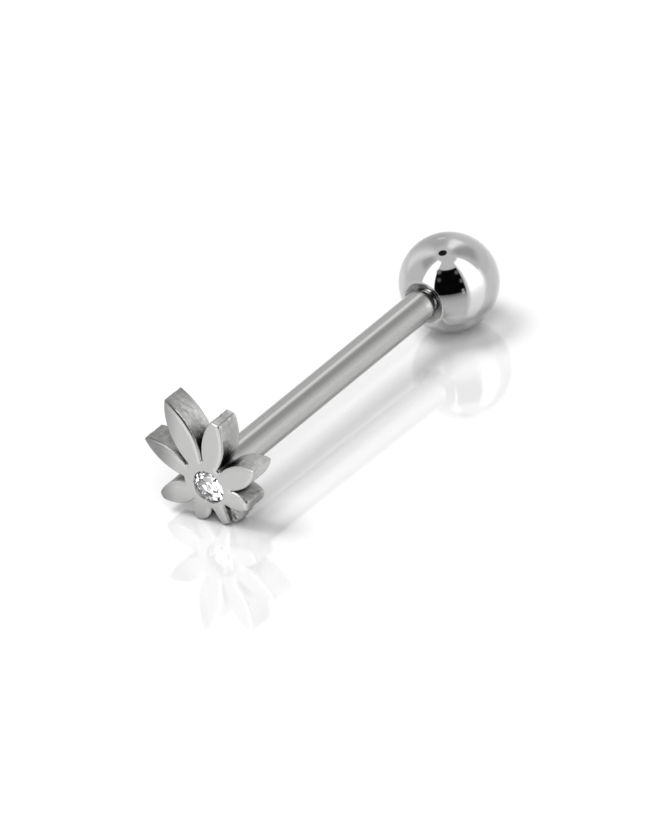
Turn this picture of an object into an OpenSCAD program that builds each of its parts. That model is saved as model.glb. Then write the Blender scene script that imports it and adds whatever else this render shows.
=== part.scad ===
// Straight barbell: a round bar with a cast leaf end and a screw-on ball, lying at rest on a flat surface.
// Millimetres. +X runs along the bar to the ball, +Z is up, and z = 0 is the surface it lies on.

/* [Bar] */
// Diameter of the bar, 14 gauge
bar_d = 1.6; // [1.5:0.05:1.8]
// Length of the bar from the back of the leaf to its shoulder
bar_l = 16.65; // [12:0.05:22]
// Bevel at the bar's shoulder
bar_bevel = 0.15; // [0.1:0.05:0.25]
// Radius of the solder fillet where the bar meets the leaf
solder_r = 0.2; // [0.1:0.05:0.25]

/* [Threaded stud] */
// Diameter over the thread
stud_d = 1.2; // [1:0.05:1.25]
// Length of the stud past the shoulder
stud_l = 2.6; // [2:0.1:3]
// Pitch of the thread
thread_pitch = 0.25; // [0.2:0.05:0.35]
// Depth of the thread
thread_depth = 0.14; // [0.08:0.02:0.18]

/* [Ball] */
// Diameter of the ball
ball_d = 5; // [4:0.5:6]
// Diameter of the flat turned round its hole
face_d = 2.4; // [2.3:0.1:2.6]
// Diameter of the countersink in the flat
sink_d = 2.2; // [1.7:0.1:2.2]
// Depth of the countersink
sink_h = 0.35; // [0.2:0.05:0.5]
// Gap left between the bar's shoulder and the flat when the ball is screwed home
shoulder_gap = 0.05; // [0.05:0.05:0.2]

/* [Leaf] */
// Thickness of the cast leaf
leaf_t = 1.39; // [1.2:0.01:1.5]
// Bevel round its front edge
edge_bevel = 0.16; // [0.05:0.01:0.2]
// Diameter of the hub that the leaflets grow from
hub_d = 2.68; // [2.5:0.02:2.8]
// Width of the short stem's end
stem_w = 0.54; // [0.5:0.02:0.7]
// Slant of the stem's two sides, in degrees
stem_flare = 9; // [0:1:12]
// How far the stem reaches from the leaf's centre
stem_reach = 2.02; // [1.9:0.02:2.1]
// How far the bar's axis lies from the leaf's centre, towards the longest leaflet
bar_offset = 0.3; // [0:0.05:0.35]

/* [Stone] */
// Diameter of the stone
stone_d = 1.7; // [1.5:0.1:1.8]
// Height of its crown above the girdle
crown_h = 0.24; // [0.2:0.02:0.28]
// Depth of its pavilion below the girdle
pavilion_h = 0.68; // [0.6:0.02:0.74]
// How far the girdle lies below the leaf's face
girdle_drop = 0.14; // [0.1:0.02:0.2]

/* [Hidden] */
$fn = 96;
eps = 0.05;

// The leaflets, clockwise from the upper left and seen from the front with the longest one upright.
// turn: degrees to the left of the longest one. reach: distance of the blunt end from the leaf's centre.
// root and peak: the two points between which the lens is drawn, along its own axis.
// left and right: how far its two flanks bulge from that axis.
TURN = 0; REACH = 1; ROOT = 2; PEAK = 3; LEFT = 4; RIGHT = 5;
LEAFLETS = [
    [    38, 3.95, 0.60, 4.02, 0.56, 0.57],
    [    -1, 4.85, 0.60, 4.85, 0.73, 0.73],
    [   -39, 4.03, 0.60, 4.38, 0.63, 0.66],
    [   -84, 3.62, 0.50, 3.62, 0.61, 0.64],
    [  -123, 2.42, 0.30, 2.66, 0.47, 0.60],
    [ 130.3, 2.20, 0.45, 2.20, 0.62, 0.36],
    [    89, 3.20, 0.50, 3.42, 0.58, 0.59]
];
UPPER_LEFT = LEAFLETS[0];
RIGHT_SIDE = LEAFLETS[3];
LOWER_LEFT = LEAFLETS[5];

// The middles of the hub, of the stone and of the stem lie a little beside the leaf's centre
hub_at = [0.04, 0.16];
stone_at = [0.15, 0.05];
stem_side = 0.08;

// The web that casting left between the stem and the lower right leaflet: its radius about the leaf's centre, its
// thickness and how far it lies below the leaf's face
web_r = stem_reach + 0.18;
web_t = 0.6;
web_drop = 0.3;

// Small gaps
stone_gap = 0.02;
stud_gap = 0.03;
stud_end_gap = 0.05;

// Stone: proportions of a round brilliant, as shares of its radius
stone_r = stone_d / 2;
table_share = 0.57;
star_share = 0.76;
lower_share = 0.24;
girdle_t = 0.03;
mains = 8;

// Ball: how far the flat lies from the ball's centre, and the ball's place on the axis
ball_r = ball_d / 2;
face_r = face_d / 2;
sink_r = sink_d / 2;
face_h = sqrt(ball_r * ball_r - face_r * face_r);
ball_at = bar_l + shoulder_gap + face_h;
hole_r = stud_d / 2 + stud_gap;
hole_l = stud_l - shoulder_gap + stud_end_gap;

// A flank is an arc through root and peak, and its circle's centre lies on the axis's other side. Seen from the
// leaf's centre, the flank ends at the angle blunt from the axis, where the arc of the blunt end meets it.
function arc_r(l, side) = let (half_l = (l[PEAK] - l[ROOT]) / 2)
    (half_l * half_l + l[side] * l[side]) / (2 * l[side]);
function arc_centre(l, side) = [arc_r(l, side) - l[side], (l[PEAK] + l[ROOT]) / 2];
function blunt(l, side) = l[PEAK] <= l[REACH] ? 0 : let (c = arc_centre(l, side), r = arc_r(l, side), d = norm(c))
    acos((l[REACH] * l[REACH] + d * d - r * r) / (2 * l[REACH] * d)) - atan2(c[0], c[1]);

// Rest: the leaf stands on the left flank of its lower left leaflet and on the left corner of its stem, and the
// ball lies beyond them. The lean brings the flank's circle down to the corner's level, and the tilt lowers the ball
// to the surface.
function turned(p, angle) = [p[0] * cos(angle) - p[1] * sin(angle), p[0] * sin(angle) + p[1] * cos(angle)];
rest_corner = [stem_side - stem_w / 2, -stem_reach];
to_flank = turned(arc_centre(LOWER_LEFT, LEFT), LOWER_LEFT[TURN]) - rest_corner;
lean = atan2(to_flank[0], to_flank[1]) + acos(arc_r(LOWER_LEFT, LEFT) / norm(to_flank));
axis_drop = bar_offset * cos(lean) - rest_corner[0] * sin(lean) - rest_corner[1] * cos(lean);
foot_at = leaf_t - edge_bevel;
axis_l = foot_at + ball_at;
tilt = asin(ball_r / norm([axis_l, axis_drop])) - atan2(axis_drop, axis_l);

// Origin: the middle of the object's own box, on the surface
function side_of(l, side) = l[REACH] * sin(l[TURN] + lean + (side == LEFT ? 1 : -1) * blunt(l, side));
x_mid = (axis_l * cos(tilt) + ball_r - edge_bevel - (crown_h - girdle_drop)) / 2;
y_mid = (side_of(UPPER_LEFT, LEFT) + side_of(RIGHT_SIDE, RIGHT)) / 2 - bar_offset * sin(lean);

// Turns what is drawn face up, with the bar's axis down -Z from the leaf's back, to its place at rest
module at_rest() {
    translate([-x_mid, -y_mid, axis_drop * cos(tilt)])
        rotate([0, -tilt, 0])
            translate([foot_at, 0, 0])
                rotate([-lean, 0, 0])
                    rotate([90, 0, -90])
                        children();
}

// A disc as thick as the leaf, bevelled round its front
module disc(r) {
    rotate_extrude()
        polygon([[0, 0], [r, 0], [r, leaf_t - edge_bevel], [r - edge_bevel, leaf_t], [0, leaf_t]]);
}

// One leaflet: a lens between two arcs, its end cut blunt by an arc about the leaf's centre
module leaflet(l) {
    a = arc_centre(l, LEFT);
    b = arc_centre(l, RIGHT);
    rotate(l[TURN])
        intersection() {
            translate([a[0], a[1], 0]) disc(arc_r(l, LEFT));
            translate([-b[0], b[1], 0]) disc(arc_r(l, RIGHT));
            if (l[PEAK] > l[REACH]) disc(l[REACH]);
        }
}

// A strip of the given width along Y, bevelled along both front edges
module strip(low, high, l) {
    translate([0, l / 2, 0])
        rotate([90, 0, 0])
            linear_extrude(l)
                polygon([[low, 0], [high, 0], [high, leaf_t - edge_bevel], [high - edge_bevel, leaf_t],
                         [low + edge_bevel, leaf_t], [low, leaf_t - edge_bevel]]);
}

module stem() {
    wide = 2;
    long = 3 * stem_reach;
    intersection() {
        translate([stem_side - stem_w / 2, -stem_reach, 0]) rotate(stem_flare) strip(0, wide, long);
        translate([stem_side + stem_w / 2, -stem_reach, 0]) rotate(-stem_flare) strip(-wide, 0, long);
        rotate(-90) strip(-0.4, stem_reach, 2 * wide);
    }
}

// The web fills the notch between the stem and the lower right leaflet, and both cover its straight sides
module web() {
    intersection() {
        translate([0, 0, leaf_t - web_drop - web_t]) cylinder(r = web_r, h = web_t);
        linear_extrude(leaf_t) polygon([[0.1, 0], [stem_side + stem_w / 2, -2.4], [2.4, -2.4], [2, -1.3]]);
    }
}

// The stone's seat: a straight wall at the mouth, then a cone that follows the pavilion
module seat() {
    seat_r = stone_r + stone_gap;
    cone_top = leaf_t - girdle_drop - girdle_t - stone_gap;
    floor_r = 0.1;
    translate([0, 0, cone_top]) cylinder(r = seat_r, h = leaf_t);
    translate([0, 0, cone_top - pavilion_h]) cylinder(r1 = floor_r, r2 = seat_r, h = pavilion_h);
}

module leaf() {
    translate([0, -bar_offset, 0])
        difference() {
            union() {
                translate([hub_at[0], hub_at[1], 0]) disc(hub_d / 2);
                stem();
                web();
                for (l = LEAFLETS) leaflet(l);
            }
            translate([stone_at[0], stone_at[1], 0]) seat();
        }
}

// Ring grooves stand in for the thread's helix
module stud() {
    r = stud_d / 2;
    turns = floor((stud_l - 2 * thread_pitch) / thread_pitch);
    grooves = [for (i = [0 : turns - 1], s = [0, 1])
        [s == 0 ? r : r - thread_depth, -(i + 1 + s / 2) * thread_pitch]];
    end_bevel = 0.15;
    rotate_extrude()
        polygon(concat(
            [[0, eps], [r, eps]],
            grooves,
            [[r, -(turns + 1) * thread_pitch], [r, end_bevel - stud_l], [r - end_bevel, -stud_l], [0, -stud_l]]
        ));
}

// The bar with its bevelled shoulder, the solder fillet at the leaf's back and the stud
module bar() {
    r = bar_d / 2;
    rotate_extrude()
        polygon([
            [0, eps], [r, eps], [r, bar_bevel - bar_l], [r - bar_bevel, -bar_l], [0, -bar_l]
        ]);
    rotate_extrude()
        difference() {
            translate([0, -solder_r]) square([r + solder_r, solder_r + eps]);
            translate([r + solder_r, -solder_r]) circle(r = solder_r);
        }
    translate([0, 0, -bar_l]) stud();
}

module leaf_bar() {
    color([0.72, 0.72, 0.72])
        at_rest()
            union() {
                leaf();
                bar();
            }
}

// A round brilliant: the hull of its facets' corners, with the girdle's underside at z = 0
function ring(n, first, r, z) = [for (i = [0 : n - 1]) [r * cos(first + i * 360 / n), r * sin(first + i * 360 / n), z]];

module stone() {
    step = 360 / mains;
    table_r = table_share * stone_r;
    star_r = star_share * stone_r;
    lower_r = lower_share * stone_r;
    star_z = crown_h * (1 - (star_r * cos(step / 2) - table_r) / (stone_r - table_r));
    lower_z = pavilion_h * (1 - lower_r * cos(step / 2) / stone_r);
    corners = concat(
        ring(mains, 0, table_r, girdle_t + crown_h),
        ring(mains, step / 2, star_r, girdle_t + star_z),
        ring(2 * mains, 0, stone_r, girdle_t),
        ring(2 * mains, 0, stone_r, 0),
        ring(mains, step / 2, lower_r, -lower_z),
        [[0, 0, -pavilion_h]]
    );
    color([0.9, 0.92, 0.94])
        at_rest()
            translate([stone_at[0], stone_at[1] - bar_offset, leaf_t - girdle_drop - girdle_t])
                hull() polyhedron(points = corners, faces = [[for (i = [0 : len(corners) - 1]) i]]);
}

// The ball, cut flat where the bar meets it, with its blind hole and the countersink at its mouth
module ball() {
    drill_point = 0.35;
    past = sink_h + eps;
    color([0.8, 0.8, 0.8])
        at_rest()
            translate([0, 0, -ball_at])
                difference() {
                    sphere(r = ball_r);
                    translate([0, 0, face_h]) cylinder(r = ball_r, h = ball_r);
                    translate([0, 0, face_h - hole_l]) cylinder(r = hole_r, h = ball_r);
                    translate([0, 0, face_h - hole_l - drill_point]) cylinder(r1 = 0, r2 = hole_r, h = drill_point);
                    translate([0, 0, face_h - sink_h])
                        cylinder(r1 = hole_r, r2 = hole_r + (sink_r - hole_r) * past / sink_h, h = past);
                }
}

leaf_bar();
stone();
ball();
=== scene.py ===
"""Straight barbell with a cast leaf end: the visible model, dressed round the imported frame.

Sizes are in millimetres in the classes and in metres in the meshes. A shape is first drawn face up, as
part.scad draws it: the leaf lies from z = 0, its back, to its front, with its longest leaflet along +Y,
the bar's axis runs down -Z from the leaf's back, and the leaf's centre lies a little below the axis.
Rest.place then lays it down.
"""

import logging
import math
from collections.abc import Callable, Sequence
from dataclasses import dataclass, field
from enum import Enum
from typing import Any

import bmesh
import bpy
import numpy as np
from mathutils import Matrix, Vector


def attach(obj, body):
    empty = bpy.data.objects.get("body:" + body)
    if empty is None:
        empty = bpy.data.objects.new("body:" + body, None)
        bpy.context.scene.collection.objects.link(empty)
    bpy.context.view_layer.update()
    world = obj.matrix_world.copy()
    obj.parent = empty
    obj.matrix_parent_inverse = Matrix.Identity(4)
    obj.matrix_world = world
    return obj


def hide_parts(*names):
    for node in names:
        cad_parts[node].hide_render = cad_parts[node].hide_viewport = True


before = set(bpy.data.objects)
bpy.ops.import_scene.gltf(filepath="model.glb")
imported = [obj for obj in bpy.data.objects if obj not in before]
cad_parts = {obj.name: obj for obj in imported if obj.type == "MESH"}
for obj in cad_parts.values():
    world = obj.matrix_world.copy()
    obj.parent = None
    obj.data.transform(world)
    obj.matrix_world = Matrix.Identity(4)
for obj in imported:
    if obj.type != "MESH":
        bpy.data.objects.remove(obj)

LOG = logging.getLogger("barbell")
MM = 0.001
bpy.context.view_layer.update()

# Points closer than this are one, in millimetres.
WELD = 2e-4
# How many waves make cast unevenness, how long each is beside the asked size, and the sum's usual peak.
WAVES = 24
WAVE_LENGTHS = (0.6, 1.7)
WAVE_PEAK = 1.5
# The thread's groove is a triangle wave of this height and slope, cut off at 0 and 1.
GROOVE_PEAK = 1.15
GROOVE_SLOPE = 2.6

# Takes radius, height and angle of a turned surface's points and gives their new radius.
Shape = Callable[[np.ndarray, np.ndarray, np.ndarray], np.ndarray]
# Height in millimetres, size in millimetres and seed of cast bumps.
Bumps = tuple[float, float, int]


class Body(Enum):
    """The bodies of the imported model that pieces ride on."""

    BAR = "bar"
    BALL = "ball"


def srgb(code: str, alpha: float = 1.0) -> tuple[float, float, float, float]:
    """Turns an sRGB hex colour to the linear one that a shader takes.

    Args:
        code: The colour, such as "#C8C8C8".
        alpha: Its opacity.

    Returns:
        Linear red, green and blue, and alpha.
    """
    shares = [int(code[i : i + 2], 16) / 255 for i in (1, 3, 5)]
    red, green, blue = (s / 12.92 if s <= 0.04045 else ((s + 0.055) / 1.055) ** 2.4 for s in shares)
    return red, green, blue, alpha


def feed(tree: bpy.types.NodeTree, node: bpy.types.Node, inputs: dict[str, Any] | Sequence[Any]) -> None:
    """Sets and links a node's inputs.

    Args:
        tree: The tree that the node is in.
        node: The node.
        inputs: Socket name to what goes in, or a list in the order of the sockets in use. A node stands for
            its first output in use, an output socket is linked, and anything else is the socket's own value.
    """
    if isinstance(inputs, dict):
        pairs = [(node.inputs[name], value) for name, value in inputs.items()]
    else:
        pairs = list(zip([s for s in node.inputs if s.enabled], inputs))
    for socket, value in pairs:
        if isinstance(value, bpy.types.Node):
            value = next(s for s in value.outputs if s.enabled)
        if isinstance(value, bpy.types.NodeSocket):
            tree.links.new(value, socket)
        else:
            socket.default_value = value


def add(tree: bpy.types.NodeTree, kind: str, inputs: dict[str, Any] | Sequence[Any] = (),
        **settings: Any) -> bpy.types.Node:
    """Adds a node to a tree, sets it and links it.

    Args:
        tree: The tree to add to.
        kind: The node's type after "ShaderNode", such as "Bump".
        inputs: What goes into its sockets, as for feed.
        **settings: The node's own properties.

    Returns:
        The new node.
    """
    node = tree.nodes.new("ShaderNode" + kind)
    for name, value in settings.items():
        setattr(node, name, value)
    feed(tree, node, inputs)
    return node


def show(name: str, data: bpy.types.ID) -> bpy.types.Object:
    """Makes an object and links it to the scene.

    Args:
        name: The object's name.
        data: Its mesh, lamp or camera.

    Returns:
        The object, at the origin.
    """
    thing = bpy.data.objects.new(name, data)
    bpy.context.scene.collection.objects.link(thing)
    return thing


def per_metre(size_mm: float) -> float:
    """Turns the real size of one cell of a pattern into a texture's scale on Object coordinates."""
    return 1.0 / (size_mm * MM)


def waves(u: np.ndarray, v: np.ndarray, bumps: Bumps) -> np.ndarray:
    """Smooth unevenness: the mean of sine waves that run in seeded directions, each about one size long.

    Args:
        u: First coordinate, in millimetres.
        v: Second coordinate, of the same shape.
        bumps: Their height, size and seed.

    Returns:
        Values of about -height to height.
    """
    height, size, seed = bumps
    draw = np.random.default_rng(seed)
    turn, phase = draw.uniform(0, 2 * np.pi, (2, WAVES))
    rate = 2 * np.pi / (size * draw.uniform(*WAVE_LENGTHS, WAVES))
    total = sum(np.sin(r * (u * np.cos(t) + v * np.sin(t)) + p) for t, p, r in zip(turn, phase, rate))
    return height * (total / math.sqrt(WAVES / 2) / WAVE_PEAK)


def groove(z: np.ndarray, angle: np.ndarray, pitch: float) -> np.ndarray:
    """A thread's groove, from 0 to 1: a triangle wave of z / pitch - angle / turn, cut off at both."""
    phase = ((z / pitch - angle / (2 * np.pi)) % 1.0) - 0.5
    return np.clip(GROOVE_PEAK - GROOVE_SLOPE * np.abs(phase), 0, 1)


def smooth(share: np.ndarray) -> np.ndarray:
    """A smooth step from 0 to 1: share ** 2 * (3 - 2 * share)."""
    return share**2 * (3 - 2 * share)


def crowded(count: int) -> np.ndarray:
    """Shares from 0 to 1 that crowd towards both ends: (1 - cos(pi * even share)) / 2."""
    return (1 - np.cos(np.pi * np.linspace(0, 1, count))) / 2


def path(*stops: tuple[float, float], step: float = 0.05) -> np.ndarray:
    """Joins (radius, z) stops by straight runs.

    Args:
        *stops: The stops.
        step: The most that two points may lie apart.

    Returns:
        Points of shape (n, 2).
    """
    out = [np.array([stops[0]], float)]
    for a, b in zip(stops, stops[1:]):
        parts = max(1, int(math.ceil(math.dist(a, b) / step)))
        share = np.linspace(0, 1, parts + 1)[1:, None]
        out.append(np.array(a) * (1 - share) + np.array(b) * share)
    return np.concatenate(out)


def bend(centre: tuple[float, float], radius: float, start: float, end: float, parts: int) -> np.ndarray:
    """Points (radius, z) on an arc about a centre, from one angle to another, in degrees."""
    a = np.radians(np.linspace(start, end, parts + 1))
    return np.stack([centre[0] + radius * np.cos(a), centre[1] + radius * np.sin(a)], -1)


@dataclass(frozen=True)
class Rest:
    """How the barbell lies: on the ball, on a lower leaflet's flank and on the corner of the leaf's stem.

    Attributes:
        lean: Degrees that the longest leaflet leans to the left of someone looking at the leaf's face.
        tilt: Degrees that the bar rises from the leaf to the ball.
        foot_at: Distance of the points the leaf stands on from its back.
        bar_offset: How far the bar's axis lies from the leaf's centre.
        origin: Where the axis meets the plane of those points, in the row's frame.
    """

    lean: float = 21.46833
    tilt: float = 0.773415
    foot_at: float = 1.23
    bar_offset: float = 0.30
    origin: tuple[float, float, float] = (-11.180669, 0.002022, 2.228373)

    def place(self, points: np.ndarray) -> np.ndarray:
        """Lays drawn points down: face up becomes face to -X, then the lean, the tilt and the move follow.

        Args:
            points: Drawn points in millimetres, measured from the bar's axis, the last axis being x, y, z.

        Returns:
            The same points in the row's frame, in metres.
        """
        x, y, z = np.moveaxis(np.asarray(points, float), -1, 0)
        lean, tilt = math.radians(self.lean), math.radians(self.tilt)
        along, side, high = self.foot_at - z, -x, y
        side, high = (side * math.cos(lean) + high * math.sin(lean),
                      high * math.cos(lean) - side * math.sin(lean))
        along, high = (along * math.cos(tilt) - high * math.sin(tilt),
                       along * math.sin(tilt) + high * math.cos(tilt))
        return (np.stack([along, side, high], -1) + self.origin) * MM


@dataclass
class Shell:
    """Collects grids of points and welds them to one closed mesh."""

    points: list[np.ndarray] = field(default_factory=list)
    faces: list[np.ndarray] = field(default_factory=list)
    worn: list[np.ndarray] = field(default_factory=list)
    painted_shade: list[np.ndarray] = field(default_factory=list)
    uvs: list[np.ndarray] = field(default_factory=list)
    count: int = 0

    def grid(self, points: np.ndarray, worn: np.ndarray | float = 0.0, uv: np.ndarray | None = None,
             painted_shade: np.ndarray | float = 0.0) -> None:
        """Adds a sheet of four-sided faces over a grid of points.

        Args:
            points: Points of shape (rows, columns, 3).
            worn: The value of the "worn" attribute, one number or an array that fits the grid.
            uv: Flat coordinates for each point, of shape (rows, columns, 2).
            painted_shade: The value of the "painted_shade" attribute, painted shade that darkens the walls,
                one number or an array that fits the grid.
        """
        rows, columns = points.shape[:2]
        index = self.count + np.arange(rows * columns).reshape(rows, columns)
        corners = np.stack([index[:-1, :-1], index[:-1, 1:], index[1:, 1:], index[1:, :-1]], -1)
        self.points.append(points.reshape(-1, 3))
        self.faces.append(corners.reshape(-1, 4))
        self.worn.append(np.broadcast_to(worn, (rows, columns)).reshape(-1))
        self.painted_shade.append(np.broadcast_to(painted_shade, (rows, columns)).reshape(-1))
        self.uvs.append(np.zeros((rows * columns, 2)) if uv is None else uv.reshape(-1, 2))
        self.count += rows * columns

    def turn(self, profile: np.ndarray, steps: int, shape: Shape, worn: np.ndarray | float = 0.0) -> None:
        """Adds a surface of revolution about the bar's axis: each profile point is carried round a circle.

        Its flat coordinates are the length round the widest circle and the length along the profile.

        Args:
            profile: Points (radius, z) in millimetres, of shape (n, 2).
            steps: Points in a circle.
            shape: What gives each point its radius.
            worn: As for a grid.
        """
        angle = np.linspace(0, 2 * np.pi, steps + 1)[None, :]
        radius, z = (np.repeat(profile[:, i : i + 1], steps + 1, 1) for i in (0, 1))
        radius = shape(radius, z, np.repeat(angle, len(profile), 0))
        points = np.stack([radius * np.cos(angle), radius * np.sin(angle), z], -1)
        points[:, -1] = points[:, 0]
        run = np.r_[0, np.cumsum(np.hypot(*np.diff(profile, axis=0).T))]
        flat = np.broadcast_arrays(angle * profile[:, 0].max(), run[:, None])
        self.grid(points, worn, np.stack(flat, -1))

    def build(self, name: str, rest: Rest, finish: bpy.types.Material, sharp: float) -> bpy.types.Object:
        """Makes the object: places the points, welds them, turns the faces outwards and shades them.

        Args:
            name: The piece's name.
            rest: What lays the drawn points down.
            finish: Its material.
            sharp: Edges that turn by more than this many degrees stay sharp.

        Returns:
            The linked object, at the origin.
        """
        faces = np.concatenate(self.faces)
        mesh = bpy.data.meshes.new(name)
        mesh.from_pydata(rest.place(np.concatenate(self.points)).tolist(), [], faces.tolist())
        for label, values in (("worn", self.worn), ("painted_shade", self.painted_shade)):
            layer = mesh.attributes.new(label, "FLOAT", "POINT")
            layer.data.foreach_set("value", np.concatenate(values).astype(np.float32))
        layer = mesh.uv_layers.new(name="UVMap")
        uvs = np.concatenate(self.uvs)[faces.reshape(-1)]
        layer.data.foreach_set("uv", uvs.astype(np.float32).ravel())
        shell = bmesh.new()
        shell.from_mesh(mesh)
        bmesh.ops.remove_doubles(shell, verts=shell.verts[:], dist=WELD * MM)
        bmesh.ops.dissolve_degenerate(shell, edges=shell.edges[:], dist=WELD * MM / 4)
        bmesh.ops.recalc_face_normals(shell, faces=shell.faces[:])
        open_edges = sum(not e.is_manifold for e in shell.edges)
        shell.to_mesh(mesh)
        shell.free()
        mesh.shade_smooth()
        mesh.set_sharp_from_angle(angle=math.radians(sharp))
        mesh.materials.append(finish)
        LOG.info("%s: %d faces, %d open edges", name, len(mesh.polygons), open_edges)
        return show(name, mesh)


@dataclass(frozen=True)
class Leaflet:
    """One leaflet of the leaf: the lens between two arcs, cut blunt by an arc about the leaf's centre.

    Attributes:
        turn: Degrees to the left of upright.
        reach: Distance of the blunt end from the leaf's centre.
        root: Where the lens starts, along its own axis.
        peak: Where the two arcs would meet.
        left: How far the left flank bulges from that axis.
        right: How far the right flank bulges from it.
        worn: How far casting and belting have rounded its tip.
        grain: How rough its side walls are, from 0 to 1.
        shade_level: How dark its side walls are painted, painted shade, from 0 to 1.
    """

    turn: float
    reach: float
    root: float
    peak: float
    left: float
    right: float
    worn: float
    grain: float
    shade_level: float

    def circles(self) -> list[tuple[float, float]]:
        """Works out the two flanks' circles.

        A flank is an arc through root and peak: radius = (half length ** 2 + bulge ** 2) / (2 * bulge).

        Returns:
            For each flank, how far its centre lies to the right of the axis, and its radius.
        """
        half = (self.peak - self.root) / 2
        out = []
        for bulge, way in ((self.left, 1), (self.right, -1)):
            radius = (half**2 + bulge**2) / (2 * bulge)
            out.append((way * (radius - bulge), radius))
        return out

    def exit(self, angle: np.ndarray) -> np.ndarray:
        """Finds how far from the leaf's centre each ray leaves the leaflet.

        A ray is inside between the later of its two entries to the circles and the earlier of its two exits.
        Each entry and exit is the ray's foot beside the circle's centre, minus or plus half the chord.

        Args:
            angle: Directions in radians, counter-clockwise from upright.

        Returns:
            The distances, 0 where a ray misses the leaflet.
        """
        a = angle - math.radians(self.turn)
        along = np.array([-np.sin(a), np.cos(a)])
        middle = (self.peak + self.root) / 2
        enter, leave, hit = np.zeros_like(a), np.full_like(a, self.reach), np.full(a.shape, True)
        for side, radius in self.circles():
            foot = along[0] * side + along[1] * middle
            chord = foot**2 - side**2 - middle**2 + radius**2
            half = np.sqrt(np.maximum(chord, 0))
            enter, leave = np.maximum(enter, foot - half), np.minimum(leave, foot + half)
            hit = hit & (chord > 0)
        return np.where(hit & (leave > enter), leave, 0.0)


@dataclass(frozen=True)
class Outline:
    """A closed curve of evenly spaced points, counter-clockwise from upright.

    A station on it is an index with a fraction, and it may run past either end.

    Attributes:
        points: The points from the leaf's centre, of shape (n, 2).
    """

    points: np.ndarray

    def at(self, stations: np.ndarray) -> np.ndarray:
        """Gives the points at stations.

        Args:
            stations: The stations.

        Returns:
            Their points, x and y being the last axis.
        """
        closed = np.concatenate([self.points, self.points[:1]])
        index = np.arange(len(closed))
        return np.stack([np.interp(stations % len(self.points), index, closed[:, i]) for i in (0, 1)], -1)

    def clear(self, xy: np.ndarray) -> np.ndarray:
        """Finds the distance to the nearest point of the outline, in slices to spare memory.

        Args:
            xy: Points, x and y being the last axis.

        Returns:
            The distances, with that axis gone.
        """
        slices = np.array_split(xy.reshape(-1, 2), 60)
        parts = [np.sqrt(((p[:, None] - self.points[None]) ** 2).sum(-1).min(1)) for p in slices]
        return np.concatenate(parts).reshape(xy.shape[:-1])


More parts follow.
